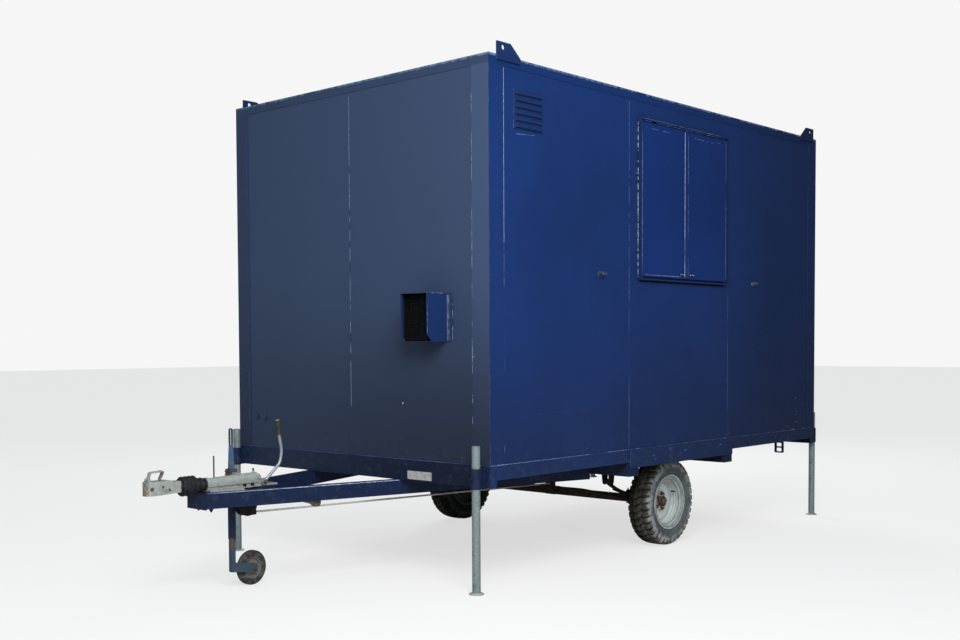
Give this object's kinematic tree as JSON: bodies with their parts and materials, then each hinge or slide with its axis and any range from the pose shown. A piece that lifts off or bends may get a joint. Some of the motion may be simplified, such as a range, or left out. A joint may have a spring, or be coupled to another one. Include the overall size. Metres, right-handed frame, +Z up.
{
  "type": "portable site cabin",
  "caption": "Steel-skinned site cabin on a towable single-axle chassis, with a shuttered window, lifting lugs, corner prop jacks, overrun coupling and jockey wheel.",
  "frame": {"origin": "on the ground, under the middle of the whole outline, hitch and jacks included", "axes": "+X from the tow hitch to the rear end, +Y from the window side to the door side, +Z up"},
  "size_m": [5.6694, 2.346, 3.11],
  "materials": {
    "navy_body": "satin",
    "navy_chassis": "satin",
    "roof_paint": "weathered",
    "galvanised": "matt galvanised",
    "dark_steel": "rusty",
    "rim_silver": "worn",
    "tyre": "dusty",
    "bellows_rubber": "matt",
    "jockey_rubber": "dusty",
    "pale_blue": "chipped",
    "floor_board": "matt",
    "clear_glass": "gloss",
    "black_grille": "matt",
    "worn_white": "worn"
  },
  "bodies": {
    "cabin": {"axle": "dark_steel", "base_end_rails": "navy_chassis", "base_side_rails": "navy_chassis", "bellows": "bellows_rubber", "brake_cables": "bellows_rubber", "brake_linkage": "dark_steel", "brake_rod": "dark_steel", "chassis_rails": "dark_steel", "corner_posts": "navy_body", "cowl_grille": "black_grille", "cross_members": "navy_chassis", "door_frame": "navy_body", "door_hinges": "galvanised", "door_leaf": "navy_body", "drawbar_beams": "navy_chassis", "floor_deck": "floor_board", "floor_joists": "navy_chassis", "front_reflector": "worn_white", "front_wall_left": "navy_body", "front_wall_right": "navy_body", "jack_sleeves": "navy_chassis", "jockey_clamp": "dark_steel", "leaf_springs": "dark_steel", "left_wall_panels": "navy_body", "left_wall_window_bay": "navy_body", "lifting_lugs": "navy_body", "louvre_vent": "navy_body", "nose_plate": "navy_chassis", "overrun_housing": "galvanised", "rear_bracket": "navy_chassis", "rear_wall": "navy_body", "right_wall_door_bay": "navy_body", "right_wall_panels": "navy_body", "roof_frame": "navy_body", "roof_panel": "roof_paint", "shutter_bolts": "galvanised", "shutter_catches": "galvanised", "shutters": "navy_body", "side_plates": "navy_chassis", "vent_cowl": "navy_body", "wall_hooks": "navy_body", "window_frame": "navy_body", "window_glass": "clear_glass"},
    "road_wheel_left": {"tyre_left": "tyre", "rim_left": "rim_silver", "hub_left": "dark_steel"},
    "road_wheel_right": {"tyre_right": "tyre", "rim_right": "rim_silver", "hub_right": "dark_steel"},
    "jack_front_left": {"jack_front_left": "galvanised"},
    "jack_front_right": {"jack_front_right": "galvanised"},
    "jack_rear_left": {"jack_rear_left": "galvanised"},
    "jack_rear_right": {"jack_rear_right": "galvanised"},
    "handbrake": {"handbrake_lever": "galvanised"},
    "coupling": {"coupling_shaft": "galvanised", "coupling_head": "galvanised"},
    "coupling_handle": {"coupling_handle": "galvanised"},
    "jockey": {"jockey_leg": "pale_blue"},
    "jockey_wheel": {"jockey_rim": "rim_silver", "jockey_tyre": "jockey_rubber"}
  },
  "joints": [
    {"name": "road_wheel_left_spin", "type": "hinge", "parent": "cabin", "child": "road_wheel_left", "pos_m": [0.74977, -0.995, 0.303], "axis": [0, 1, 0], "continuous": true},
    {"name": "road_wheel_right_spin", "type": "hinge", "parent": "cabin", "child": "road_wheel_right", "pos_m": [0.74977, 0.995, 0.303], "axis": [0, 1, 0], "continuous": true},
    {"name": "jack_front_left_height", "type": "slide", "parent": "cabin", "child": "jack_front_left", "axis": [0, 0, 1], "range_m": [0, 0.4]},
    {"name": "jack_front_right_height", "type": "slide", "parent": "cabin", "child": "jack_front_right", "axis": [0, 0, 1], "range_m": [0, 0.4]},
    {"name": "jack_rear_left_height", "type": "slide", "parent": "cabin", "child": "jack_rear_left", "axis": [0, 0, 1], "range_m": [0, 0.4]},
    {"name": "jack_rear_right_height", "type": "slide", "parent": "cabin", "child": "jack_rear_right", "axis": [0, 0, 1], "range_m": [-0.15, 0.25]},
    {"name": "handbrake_pull", "type": "hinge", "parent": "cabin", "child": "handbrake", "pos_m": [-2.06272, -0.054, 0.621], "axis": [0, -1, 0], "range_deg": [0, 75]},
    {"name": "overrun_travel", "type": "slide", "parent": "cabin", "child": "coupling", "axis": [1, 0, 0], "range_m": [0, 0.08], "stiffness_N_per_m": 2500, "springref_m": -0.1, "deforming": ["bellows"]},
    {"name": "coupling_handle_lift", "type": "hinge", "parent": "coupling", "child": "coupling_handle", "pos_m": [-2.80972, 0, 0.692], "axis": [0, -1, 0], "range_deg": [0, 35]},
    {"name": "jockey_height", "type": "slide", "parent": "cabin", "child": "jockey", "axis": [0, 0, 1], "range_m": [0, 0.25]},
    {"name": "jockey_wheel_spin", "type": "hinge", "parent": "jockey", "child": "jockey_wheel", "pos_m": [-2.05273, 0.0875, 0.1025], "axis": [0, 1, 0], "continuous": true}
  ]
}
